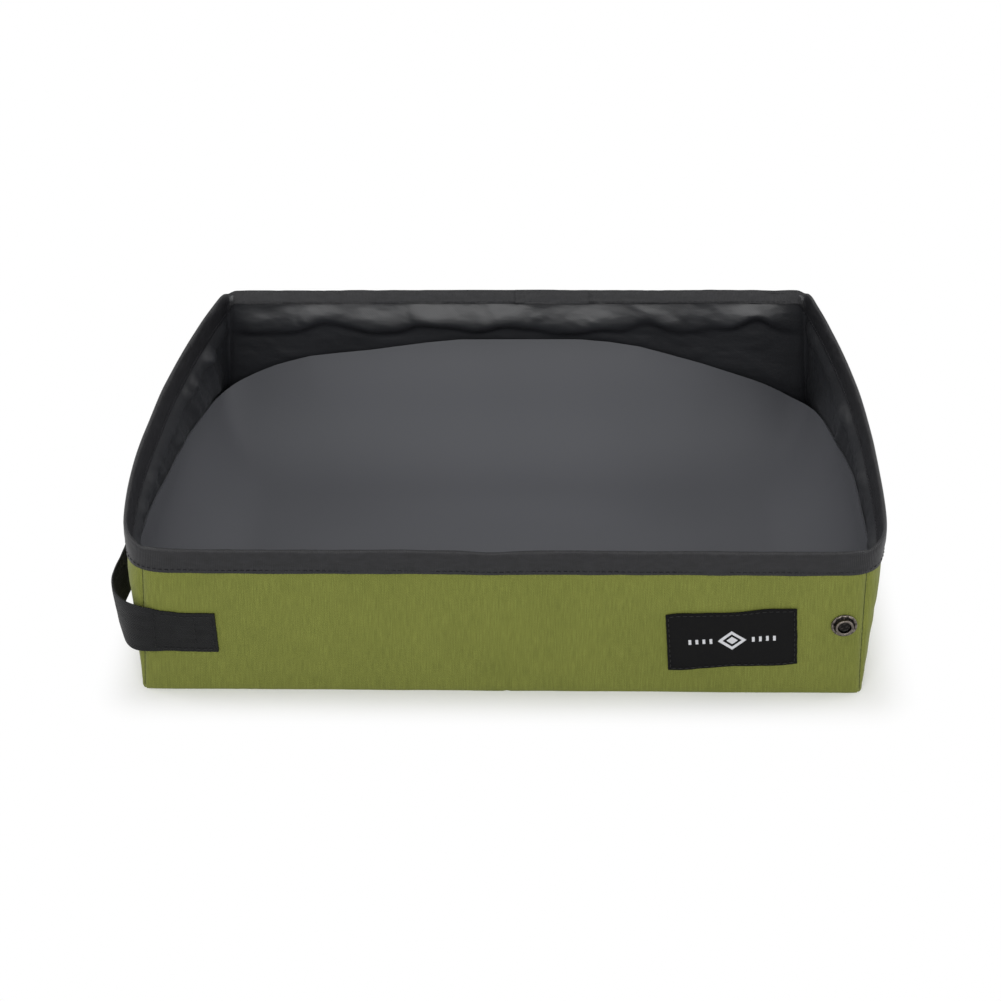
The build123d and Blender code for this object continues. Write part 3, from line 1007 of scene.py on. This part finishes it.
def liner_point(u, v):
    """Point on the liner from its grid, where u and v run from -1 to 1: level in the
    middle, then turned up against the nearest wall on a round bend."""
    size = max(abs(u), abs(v))
    toward = Vector((u, v)) / size if size else Vector((0, 1))
    power = LINER_SQUARENESS
    square = (abs(toward.x) ** power + abs(toward.y) ** power) ** (-1 / power)
    toward *= square
    half = Vector((bpy.context.scene.litter_sizes.box_width / 2 - LINER_GAP,
                   LINING_FACE - LINER_END_GAP))
    edge = Vector((half.x * toward.x, half.y * toward.y))
    side, end = "left" if u < 0 else "right", "front" if v < 0 else "back"
    start = Vector(((half.x - LINER_BENDS[side]) * toward.x,
                    (half.y - LINER_BENDS[end]) * toward.y))
    out = Vector((math.copysign(abs(toward.x) ** (power - 1), u) / half.x,
                  math.copysign(abs(toward.y) ** (power - 1), v) / half.y)).normalized()
    sideways = out.x ** 2
    bend = LINER_BENDS[side] * sideways + LINER_BENDS[end] * (1 - sideways)
    rise = liner_edge(side, edge.y) * sideways - LINER_TOP
    rise += liner_edge(end, edge.x) * (1 - sideways)
    full_turn = math.acos(1 - min(rise, bend) / bend)
    if size <= LINER_CORE:
        at = start * size / LINER_CORE
        return Vector((at.x, at.y, LINER_TOP))
    arc = bend * full_turn
    run = (size - LINER_CORE) / (1 - LINER_CORE) * (arc + max(rise - bend, 0))
    turn = min(run, arc) / bend
    up = bend * (1 - math.cos(turn)) + max(run - arc, 0)
    at = start.lerp(edge, math.sin(turn) / math.sin(full_turn))
    near = smooth_step(turn / full_turn)
    at.x += math.copysign(side_reach(side, at.y, LINER_TOP + up), u) * near * sideways
    return Vector((at.x, at.y, LINER_TOP + up))


class LITTERBOX_OT_liner(bpy.types.Operator):
    """Lays the loose floor liner, one half to each side of the mid crease"""
    bl_idname = "litterbox.liner"
    bl_label = "Floor liner"

    def execute(self, context):
        width, depth = LINER_FLAT
        for side, start in (("left", 0.0), ("right", 0.5)):

            def place(a, b):
                at = liner_point(2 * start + a - 1, 2 * b - 1)
                at.z += LINER_WAVE * (1 + ripple(at.x, at.y, 6.1, 90 * MM))
                return at

            def flat(a, b):
                return (width * (start + a / 2), depth * b)

            piece = cloth_piece(f"floor_liner_sheet_{side}", *LINER_GRID, place, flat,
                                liner_sheet(), LINER_THICKNESS,
                                lambda point: Vector((0, 0, 1)))
            take_place(piece, "grey_liner", f"floor_liner_{side}")
            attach(piece, f"base_{side}")
            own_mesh(piece)
        return {"FINISHED"}


# Closing strap

STRAP_LOW = low("strap_sewn_end").z
STRAP_HIGH = high("strap_sewn_end").z
# The strap's middle line seen from above, in mm, from its sewn end to its free one
STRAP_ROUTE = ((-157, -151.6), (-172, -151.7), (-186, -151.6), (-195, -151.2),
               (-203, -148.8), (-210, -142.4), (-215.8, -133), (-219, -121.5),
               (-219, -109), (-217.4, -95), (-217.2, -78), (-218.6, -58), (-219.3, -42),
               (-219.3, -21.5))
STRAP_STEPS = 181
STRAP_THICKNESS = 1.3 * MM
SELVEDGE_ROUND = 0.4 * MM
STRAP_FREE_FROM = 42 * MM     # length along it at which it leaves the wall
STRAP_FREE_RUN = 25 * MM
STRAP_CUP = 0.5 * MM
STRAP_WAVE = 0.4 * MM
STRAP_DROOP = 2.6 * MM        # its free part hangs this much off its height at the wall
DROOP_FROM = 12 * MM
DROOP_RUN = 34 * MM
CORNER_FROM = 44 * MM         # the wall's corner, along it, where it stands off and twists
CORNER_RUN = 13 * MM
CORNER_TWIST = 4.5 * MM
CORNER_LIFT = 1.5 * MM
STRAP_TWIST = 1.2 * MM
STRAP_END_RUN = 60 * MM
SELVEDGE_WAVE = 0.25 * MM
# The stitched box at the strap's sewn end
STRAP_SEAMS = (2.2 * MM, 12 * MM, 34 * MM)     # rows across it, from its sewn end
STRAP_SEAM_SHARES = (0.08, 0.92)               # rows along it, as shares of its width


def route_points(route, steps):
    """Even points along a smooth curve through a given route, in metres."""
    curve = bpy.data.curves.new("route", "CURVE")
    curve.dimensions = "3D"
    spline = curve.splines.new("NURBS")
    spline.points.add(len(route) - 1)
    for point, (x, y) in zip(spline.points, route):
        point.co = (x * MM, y * MM, 0, 1)
    spline.order_u = 3
    spline.use_endpoint_u = True
    spline.resolution_u = 24
    holder = bpy.data.objects.new("route", curve)
    mesh = bpy.data.meshes.new_from_object(holder)
    dense = np.array([v.co[:2] for v in mesh.vertices])
    bpy.data.meshes.remove(mesh)
    bpy.data.objects.remove(holder)
    bpy.data.curves.remove(curve)
    gaps = np.r_[0, np.cumsum(np.linalg.norm(np.diff(dense, axis=0), axis=1))]
    even = np.linspace(0, gaps[-1], steps)
    return np.stack([np.interp(even, gaps, dense[:, i]) for i in (0, 1)], 1), gaps[-1]


@cache
def strap_line():
    """The strap's route: its points, the way outward at each and its length."""
    points, length = route_points(STRAP_ROUTE, STRAP_STEPS)
    ahead = np.gradient(points, axis=0)
    ahead /= np.linalg.norm(ahead, axis=1, keepdims=True)
    return points, np.stack([-ahead[:, 1], ahead[:, 0]], 1), length


def on_strap(a, b, out=0.0):
    """Point on the strap's outer face: a along it from its sewn end, b up across it."""
    points, outward, length = strap_line()
    run = a * (len(points) - 1)
    first = min(int(run), len(points) - 2)
    part = run - first
    at = points[first] * (1 - part) + points[first + 1] * part
    normal = outward[first] * (1 - part) + outward[first + 1] * part
    free = smooth_step((a * length - STRAP_FREE_FROM) / STRAP_FREE_RUN)
    cup = STRAP_CUP * (1 - (2 * b - 1) ** 2) * free
    wave = STRAP_WAVE * noise.noise(Vector((a * 9, 2.5 * b, 3.3))) * (0.3 + 0.7 * free)
    droop = STRAP_DROOP * smooth_step((a * length - DROOP_FROM) / DROOP_RUN)
    end = smooth_step((1 - a) * length / STRAP_END_RUN)
    corner = math.exp(-((a * length - CORNER_FROM) / CORNER_RUN) ** 2)
    twist = STRAP_TWIST * free * end * (b - 0.5) + CORNER_TWIST * corner * (1 - b)
    at = at + normal * (cup + wave + twist + out)
    edge = SELVEDGE_WAVE * noise.noise(Vector((a * 30, round(b), 6.6)))
    z = STRAP_LOW + (STRAP_HIGH - STRAP_LOW) * b + droop + edge + CORNER_LIFT * corner * b
    return Vector((at[0], at[1], z))


class LITTERBOX_OT_strap(bpy.types.Operator):
    """Sews the webbing strap to the front wall and leads it round the left corner"""
    bl_idname = "litterbox.strap"
    bl_label = "Closing strap"

    def execute(self, context):
        length = strap_line()[2]

        def flat(a, b):
            return (length * a, (STRAP_HIGH - STRAP_LOW) * b)

        def outward(point):
            return Vector((-1, -1, 0))

        piece = cloth_piece("strap_webbing", 150, 14, on_strap, flat,
                            strap_webbing(), STRAP_THICKNESS, outward,
                            edge_round=SELVEDGE_ROUND)
        take_place(piece, "webbing", "strap_sewn_end", "strap_bend", "strap_tail")
        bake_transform(piece)
        return {"FINISHED"}


# Stitches

STITCH_SHARE = 0.72           # of the pitch that the thread shows
SEAM_SHARE = 1.15             # the corner seams' stitches run into each other
THREAD = 0.28 * MM
STITCH_LIFT = 0.12 * MM
TAPE_STITCH_LIFT = 0.15 * MM
SEAM_STITCH_LIFT = 0.1 * MM
STITCH_WANDER = 0.25 * MM     # how far a seam strays from its line
OUTER_SEAM = 2.2 * MM         # the seams' height above the tape's lower edges
INNER_SEAM = 1.8 * MM


def stitches(name, lines, yarn, share=STITCH_SHARE):
    """Rows of short stitches along lines of points; share is how much of the pitch shows."""
    pitch = bpy.context.scene.litter_sizes.stitch_pitch
    built = bmesh.new()
    for line in lines:
        gaps = np.r_[0, np.cumsum([(q - p).length for p, q in zip(line, line[1:])])]
        count = max(int(gaps[-1] / pitch), 1)

        def at(run):
            run = min(max(run, 0.0), gaps[-1])
            index = min(int(np.searchsorted(gaps, run, "right")) - 1, len(line) - 2)
            part = (run - gaps[index]) / max(gaps[index + 1] - gaps[index], 1e-9)
            return line[index].lerp(line[index + 1], part)

        for number in range(count):
            start = at((number + 0.5 - share / 2) * gaps[-1] / count)
            end = at((number + 0.5 + share / 2) * gaps[-1] / count)
            direction = end - start
            turn = direction.to_track_quat("Z", "Y").to_matrix().to_4x4()
            shape = Matrix.Diagonal((THREAD, THREAD, direction.length / 2, 1))
            bmesh.ops.create_uvsphere(
                built, u_segments=6, v_segments=5, radius=1,
                matrix=Matrix.Translation((start + end) / 2) @ turn @ shape)
    return finished(name, built, thread(*yarn))


def rim_line(wall, height, face, start=0.0, end=1.0):
    """A line of points along a wall at a height, on its outer or inner face."""
    ring = outline()
    first, last = wall_places(ring, wall, start, end)
    count = max(int((last - first) / 2), 2)
    line = []
    for i in range(count + 1):
        spot = first + (last - first) * i / count
        z = height + rim_rise(ring, spot, height)
        z += STITCH_WANDER * noise.noise(Vector((spot / 30.0, height / MM, 2.0)))
        line.append(ring.at(spot, z, face(ring, spot)))
    return line


def outer_face(ring, spot):
    return TAPE + TAPE_STITCH_LIFT


def inner_face(ring, spot):
    return -(wall_thickness(ring, spot, INNER_FOOT) + TAPE + TAPE_STITCH_LIFT)


def sewn_lines(on_piece, corners, steps):
    """Lines between corners on a piece's own face, a little above it."""
    lines = []
    for start, end in zip(corners, corners[1:]):
        spots = (np.array(start) + (np.array(end) - start) * i / steps
                 for i in range(steps + 1))
        lines.append([on_piece(a, b, STITCH_LIFT) for a, b in spots])
    return lines


class LITTERBOX_OT_stitching(bpy.types.Operator):
    """Stitches the binding, the corner seams and the strap"""
    bl_idname = "litterbox.stitching"
    bl_label = "Stitching"

    def execute(self, context):
        seam = BINDING_FOOT + OUTER_SEAM
        for wall in BOARDED:
            lines = [rim_line(wall, seam, outer_face),
                     rim_line(wall, INNER_FOOT + INNER_SEAM, inner_face, 0.03, 0.97)]
            piece = stitches(f"{wall}_binding_stitches", lines, BLACK_THREAD)
            bend_at_crease(piece)
        for side in SIDES:
            lines = [rim_line(side, seam, outer_face), rim_line(side, seam, inner_face)]
            piece = stitches(f"{side}_binding_stitches", lines, BLACK_THREAD)
            press_flat(piece, side)
        self.corner_seams()
        self.strap_box()
        return {"FINISHED"}

    def corner_seams(self):
        """Dark green topstitching down each corner, in the groove where two walls meet; its
        dark colour is partly painted shade for the groove.
        """
        ring = outline()
        for number, body in enumerate(("front_left", "front_right", "back_right", "back_left")):
            spot = ring.corners[number]
            line = [ring.at(spot, z * MM, SEAM_STITCH_LIFT - SEAM_DEPTH)
                    for z in np.arange(2, BINDING_FOOT / MM, 3)]
            piece = stitches(f"{body}_seam_stitches", [line], GREEN_THREAD, SEAM_SHARE)
            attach(piece, body)

    def strap_box(self):
        """The stitched rectangle at the strap's sewn end, with a bar across it."""
        near, bar, far = np.array(STRAP_SEAMS) / strap_line()[2]
        low_edge, high_edge = STRAP_SEAM_SHARES
        corners = [(near, low_edge), (near, high_edge), (far, high_edge), (far, low_edge),
                   (near, low_edge)]
        lines = sewn_lines(on_strap, corners, 16)
        lines += sewn_lines(on_strap, [(bar, low_edge), (bar, high_edge)], 16)
        piece = stitches("strap_stitches", lines, DULL_THREAD)
        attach(piece, "front_left")


# Label

LABEL_SIZE = (70.5 * MM, 37.5 * MM)
LABEL_TILT = math.radians(4.0)
LABEL_CLOTH = 0.7 * MM
LABEL_ROUND = 0.2 * MM
LABEL_BOW = 0.5 * MM          # its long edges pucker between the stitches
LONG_EDGE_WAVER = 0.35 * MM
SHORT_EDGE_WAVER = 0.3 * MM
LABEL_PUFF = 0.45 * MM
LABEL_CRUMPLE = 0.25 * MM
LABEL_PAD = 1.5 * MM          # the label's face, outside the front wall
LABEL_SEAM = ((0.02, 0.04), (0.98, 0.04), (0.98, 0.96), (0.02, 0.96), (0.02, 0.04))


def label_spot(a, b):
    """A spot of the flat label, measured from its middle."""
    return (a - 0.5) * LABEL_SIZE[0], (b - 0.5) * LABEL_SIZE[1]


def on_label(a, b, out=0.0):
    """Point on the label's face: a along it, b up it, slightly puckered by its stitches."""
    at = middle("woven_label")
    u, v = label_spot(a, b)
    bow = LABEL_BOW * math.sin(3.1 * a * math.pi) * (2 * b - 1)
    v += bow + LONG_EDGE_WAVER * noise.noise(Vector((a * 6, round(b), 4.0)))
    u += SHORT_EDGE_WAVER * noise.noise(Vector((b * 5, round(a), 8.0)))
    x = at.x + u * math.cos(LABEL_TILT) - v * math.sin(LABEL_TILT)
    z = at.z + u * math.sin(LABEL_TILT) + v * math.cos(LABEL_TILT)
    puff = LABEL_PUFF * (1 - (2 * a - 1) ** 6) * (1 - (2 * b - 1) ** 6)
    puff += LABEL_CRUMPLE * noise.noise(Vector((a * 7, b * 4, 1.0)))
    return Vector((x, -(HALF_DEPTH + LABEL_PAD + puff + out), z))


class LITTERBOX_OT_label(bpy.types.Operator):
    """Sews the plain woven label to the front wall"""
    bl_idname = "litterbox.label"
    bl_label = "Woven label"

    def execute(self, context):
        piece = cloth_piece("label_face", 70, 38, on_label, label_spot, label_satin(),
                            LABEL_CLOTH, lambda point: Vector((0, -1, 0)),
                            layer="label", edge_round=LABEL_ROUND)
        take_place(piece, "label_weave", "woven_label")
        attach(piece, "front_right")
        piece = stitches("label_stitches", sewn_lines(on_label, LABEL_SEAM, 24),
                         DULL_THREAD)
        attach(piece, "front_right")
        return {"FINISHED"}


# Press stud

# Radius and height of the stud's turned face, in mm, from its rim to its middle
STUD_PROFILE = ((7.0, 0.0), (7.0, 0.5), (6.7, 0.9), (6.2, 1.05), (5.7, 0.9), (5.4, 0.6),
                (5.05, 0.6), (4.95, 1.5), (4.9, 2.45), (4.7, 2.85), (4.35, 3.0),
                (3.95, 2.95), (3.6, 2.7), (3.45, 2.2), (3.4, 1.0), (3.1, 0.7), (0.0, 0.7))

STUD_SEAT = 0.7 * MM          # the stud's foot, outside the front wall
NOTCH_RING = (5.2, 6.8)       # radii between which the notches are pressed, in mm
NOTCH_DEPTH = 0.45 * MM
MERGE_WITHIN = 0.01 * MM


class LITTERBOX_OT_stud(bpy.types.Operator):
    """Turns the press stud's face and plates the snap's hidden pieces"""
    bl_idname = "litterbox.stud"
    bl_label = "Press stud"

    def execute(self, context):
        at = middle("press_stud")
        seat = Vector((at.x, -(HALF_DEPTH + STUD_SEAT), at.z))
        notches = bpy.context.scene.litter_sizes.notches
        built = bmesh.new()
        verts = [built.verts.new((r * MM, -h * MM, 0)) for r, h in STUD_PROFILE]
        edges = [built.edges.new(pair) for pair in zip(verts, verts[1:])]
        bmesh.ops.spin(built, geom=verts + edges, cent=(0, 0, 0), axis=(0, 1, 0),
                       dvec=(0, 0, 0), angle=2 * math.pi, steps=72, use_merge=True)
        bmesh.ops.remove_doubles(built, verts=built.verts[:], dist=MERGE_WITHIN)
        for vertex in built.verts:
            radius = math.hypot(vertex.co.x, vertex.co.z) / MM
            if NOTCH_RING[0] < radius < NOTCH_RING[1]:
                turn = math.atan2(vertex.co.z, vertex.co.x)
                press = 0.5 - 0.5 * math.cos(turn * notches)
                vertex.co.y += NOTCH_DEPTH * press ** 3
        bmesh.ops.translate(built, verts=built.verts[:], vec=seat)
        bmesh.ops.recalc_face_normals(built, faces=built.faces[:])
        piece = finished("stud_face", built, gunmetal())
        take_place(piece, "gunmetal", "press_stud")
        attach(piece, "front_right")
        for name in ("stud_washer", "snap_socket", "snap_cap"):
            dress(name, gunmetal())
        return {"FINISHED"}


def dress(node, look):
    """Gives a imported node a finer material."""
    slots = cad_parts[node].data.materials
    slots.clear()
    slots.append(look)


BOARD = 2.8 * MM
BOARD_SPAN = (4 * MM, 192 * MM)                # from the crease to the corner
BOARD_HEAD = 86.5 * MM        # a wall board's top edge, clear of the sagging rim's tape
BOARD_SLACK = 0.1 * MM
BOARD_CLIP = 11 * MM          # how much narrower a wall's board is at its top


def wall_board(wall, face, side):
    """A wall's board on one side of the crease, clipped clear of the rounded corner."""
    inner, outer = BOARD_SPAN
    foot = low(f"{wall}_board_{side}").z

    def place(a, b):
        z = foot + (BOARD_HEAD - foot) * b
        end = outer - BOARD_CLIP * (z / BOARD_HEAD) ** 2
        x = SIDES[side] * (inner + (end - inner) * a)
        return Vector((x, face * (HALF_DEPTH - CLOTH - BOARD_SLACK), z))

    piece = cloth_piece(f"{wall}_{side}_board", 12, 8, place, lambda a, b: (a, b),
                        stiffener(), BOARD, lambda point: Vector((0, face, 0)))
    take_place(piece, "stiffener_board", f"{wall}_board_{side}")
    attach(piece, f"{wall}_{side}")


class LITTERBOX_OT_boards(bpy.types.Operator):
    """Cuts the stiffener boards inside the cloth"""
    bl_idname = "litterbox.boards"
    bl_label = "Boards"

    def execute(self, context):
        for side in SIDES:
            wall_board("front", -1, side)
            wall_board("back", 1, side)
            dress(f"base_board_{side}", stiffener())
        return {"FINISHED"}


# Stage

FLOOR_HALF = 3.0              # metres
FOCAL_PIXELS = 1895.0
IMAGE_SIDE = 1001.0
SENSOR = 36.0
CAMERA_PLACE = (0.0345, -0.9747, 0.668)
CAMERA_DOWN = math.radians(33.24)
CAMERA_YAW = math.radians(2.39)
CAMERA_ROLL = math.radians(1.14)
ROOM_LIGHT = 0.40             # the white room's strength where it lights the object
SHADOW_CORE = 4 * MM          # the floor's shadow fades from inside the foot
SHADOW_REACH = 32 * MM        # to this far outside it
LAMPS = (                     # name, place, size in metres, power in watts
    ("lamp_front", (0.0, -1.65, 1.0), (1.6, 1.3), 20.0),
    ("lamp_over", (0.0, 0.45, 1.5), (1.8, 0.9), 4.5),
    ("lamp_left", (-1.5, 0.1, 0.75), (1.0, 1.0), 8.0),
    ("lamp_right", (1.5, 0.1, 0.75), (1.0, 1.0), 8.0),
)


def seen_directly(tree):
    """1 for what the eye, a mirror or glass sees, 0 for what lights the object."""
    return mixture(tree, *(
        (add_node(tree, "ShaderNodeLightPath", output=f"Is {kind} Ray"), 1.0)
        for kind in ("Camera", "Glossy", "Transmission")))


def stage_floor():
    built = bmesh.new()
    bmesh.ops.create_grid(built, x_segments=1, y_segments=1, size=FLOOR_HALF)
    look, tree = new_material("matte_white_sweep")
    grain = add_node(tree, "ShaderNodeTexNoise", {
        "Vector": add_node(tree, "ShaderNodeTexCoord", output="Object"), "Scale": 40.0})
    colour = add_node(tree, "ShaderNodeValToRGB", {"Fac": grain}, stops=(
        (0.3, linear("F7F7F7")), (0.7, linear("F9F9F9"))))
    paint = add_node(tree, "ShaderNodeBsdfPrincipled", {
        "Base Color": colour, "Roughness": 0.9, "Specular IOR Level": 0.1})
    # A little way out from the box's foot the floor is plain white to the eye, and still a
    # white floor to light
    side = add_node(tree, "ShaderNodeVectorMath", {
        0: add_node(tree, "ShaderNodeTexCoord", output="Object")}, operation="ABSOLUTE")
    past = add_node(tree, "ShaderNodeVectorMath", {
        0: side, 1: (bpy.context.scene.litter_sizes.box_width / 2, HALF_DEPTH, 0)},
        operation="SUBTRACT")
    past = add_node(tree, "ShaderNodeVectorMath", {0: past, 1: (0, 0, 0)},
                    operation="MAXIMUM")
    reach = add_node(tree, "ShaderNodeVectorMath", {0: past}, output=1, operation="LENGTH")
    away = add_node(tree, "ShaderNodeMapRange", {
        "Value": reach, "From Min": -SHADOW_CORE, "From Max": SHADOW_REACH},
        interpolation_type="SMOOTHSTEP")
    share = add_node(tree, "ShaderNodeMath", {0: away, 1: seen_directly(tree)},
                     operation="MULTIPLY")
    white = add_node(tree, "ShaderNodeEmission", {"Color": (1, 1, 1, 1), "Strength": 1.0})
    sweep = add_node(tree, "ShaderNodeMixShader", {0: share, 1: paint, 2: white})
    add_node(tree, "ShaderNodeOutputMaterial", {"Surface": sweep})
    floor = finished("stage_floor", built, look, smooth=False)


def soft_lamp(name, place, size, power):
    """A softbox that faces the box."""
    data = bpy.data.lights.new(name, "AREA")
    data.shape = "RECTANGLE"
    data.size, data.size_y = size
    data.energy = power
    lamp = bpy.data.objects.new(name, data)
    lamp.location = place
    lamp.rotation_euler = (-Vector(place)).to_track_quat("-Z", "Y").to_euler()
    bpy.context.scene.collection.objects.link(lamp)


class LITTERBOX_OT_stage(bpy.types.Operator):
    """Sets the pale floor, the soft studio light and the camera"""
    bl_idname = "litterbox.stage"
    bl_label = "Stage"

    def execute(self, context):
        stage_floor()
        for name, place, size, power in LAMPS:
            soft_lamp(name, place, size, power)
        world = bpy.data.worlds.new("plain_room")
        world.use_nodes = True
        tree = world.node_tree
        tree.nodes.clear()
        strength = add_node(tree, "ShaderNodeMapRange", {
            "Value": seen_directly(tree), "To Min": ROOM_LIGHT, "To Max": 1.0})
        background = add_node(tree, "ShaderNodeBackground", {
            "Color": (1, 1, 1, 1), "Strength": strength})
        add_node(tree, "ShaderNodeOutputWorld", {"Surface": background})
        context.scene.world = world
        context.scene.view_settings.view_transform = "Standard"
        self.camera(context)
        return {"FINISHED"}

    def camera(self, context):
        data = bpy.data.cameras.new("camera")
        data.sensor_width = SENSOR
        data.lens = FOCAL_PIXELS * SENSOR / IMAGE_SIDE
        camera = bpy.data.objects.new("camera", data)
        forward = Vector((-math.sin(CAMERA_YAW) * math.cos(CAMERA_DOWN),
                          math.cos(CAMERA_YAW) * math.cos(CAMERA_DOWN),
                          -math.sin(CAMERA_DOWN)))
        right = forward.cross(Vector((0, 0, 1))).normalized()
        above = right.cross(forward)
        turned = Matrix.Rotation(CAMERA_ROLL, 3, forward)
        right, above = turned @ right, turned @ above
        axes = Matrix((right, above, -forward)).transposed()
        camera.matrix_world = Matrix.Translation(CAMERA_PLACE) @ axes.to_4x4()
        context.scene.collection.objects.link(camera)
        context.scene.camera = camera


PARTS = (
    LITTERBOX_OT_covers, LITTERBOX_OT_linings, LITTERBOX_OT_bindings, LITTERBOX_OT_liner,
    LITTERBOX_OT_strap, LITTERBOX_OT_stitching, LITTERBOX_OT_label, LITTERBOX_OT_stud,
    LITTERBOX_OT_boards, LITTERBOX_OT_stage,
)


class LITTERBOX_PT_panel(bpy.types.Panel):
    """Lists the pieces of the litter box"""
    bl_idname = "LITTERBOX_PT_panel"
    bl_label = "Litter box"
    bl_space_type = "VIEW_3D"
    bl_region_type = "UI"
    bl_category = "Litter box"

    def draw(self, context):
        for part in PARTS:
            self.layout.operator(part.bl_idname)
        for group in (context.scene.litter_sizes, context.scene.litter_colours):
            for name in group.bl_rna.properties.keys():
                if name not in ("rna_type", "name"):
                    self.layout.prop(group, name)


CLASSES = (LitterBoxSizes, LitterBoxColours, *PARTS, LITTERBOX_PT_panel)


def register():
    for kind in CLASSES:
        bpy.utils.register_class(kind)
    bpy.types.Scene.litter_sizes = PointerProperty(type=LitterBoxSizes)
    bpy.types.Scene.litter_colours = PointerProperty(type=LitterBoxColours)


def unregister():
    del bpy.types.Scene.litter_sizes
    del bpy.types.Scene.litter_colours
    for kind in reversed(CLASSES):
        bpy.utils.unregister_class(kind)


def main():
    register()
    for part in PARTS:
        group, name = part.bl_idname.split(".")
        getattr(getattr(bpy.ops, group), name)()


if __name__ == "__main__":
    main()
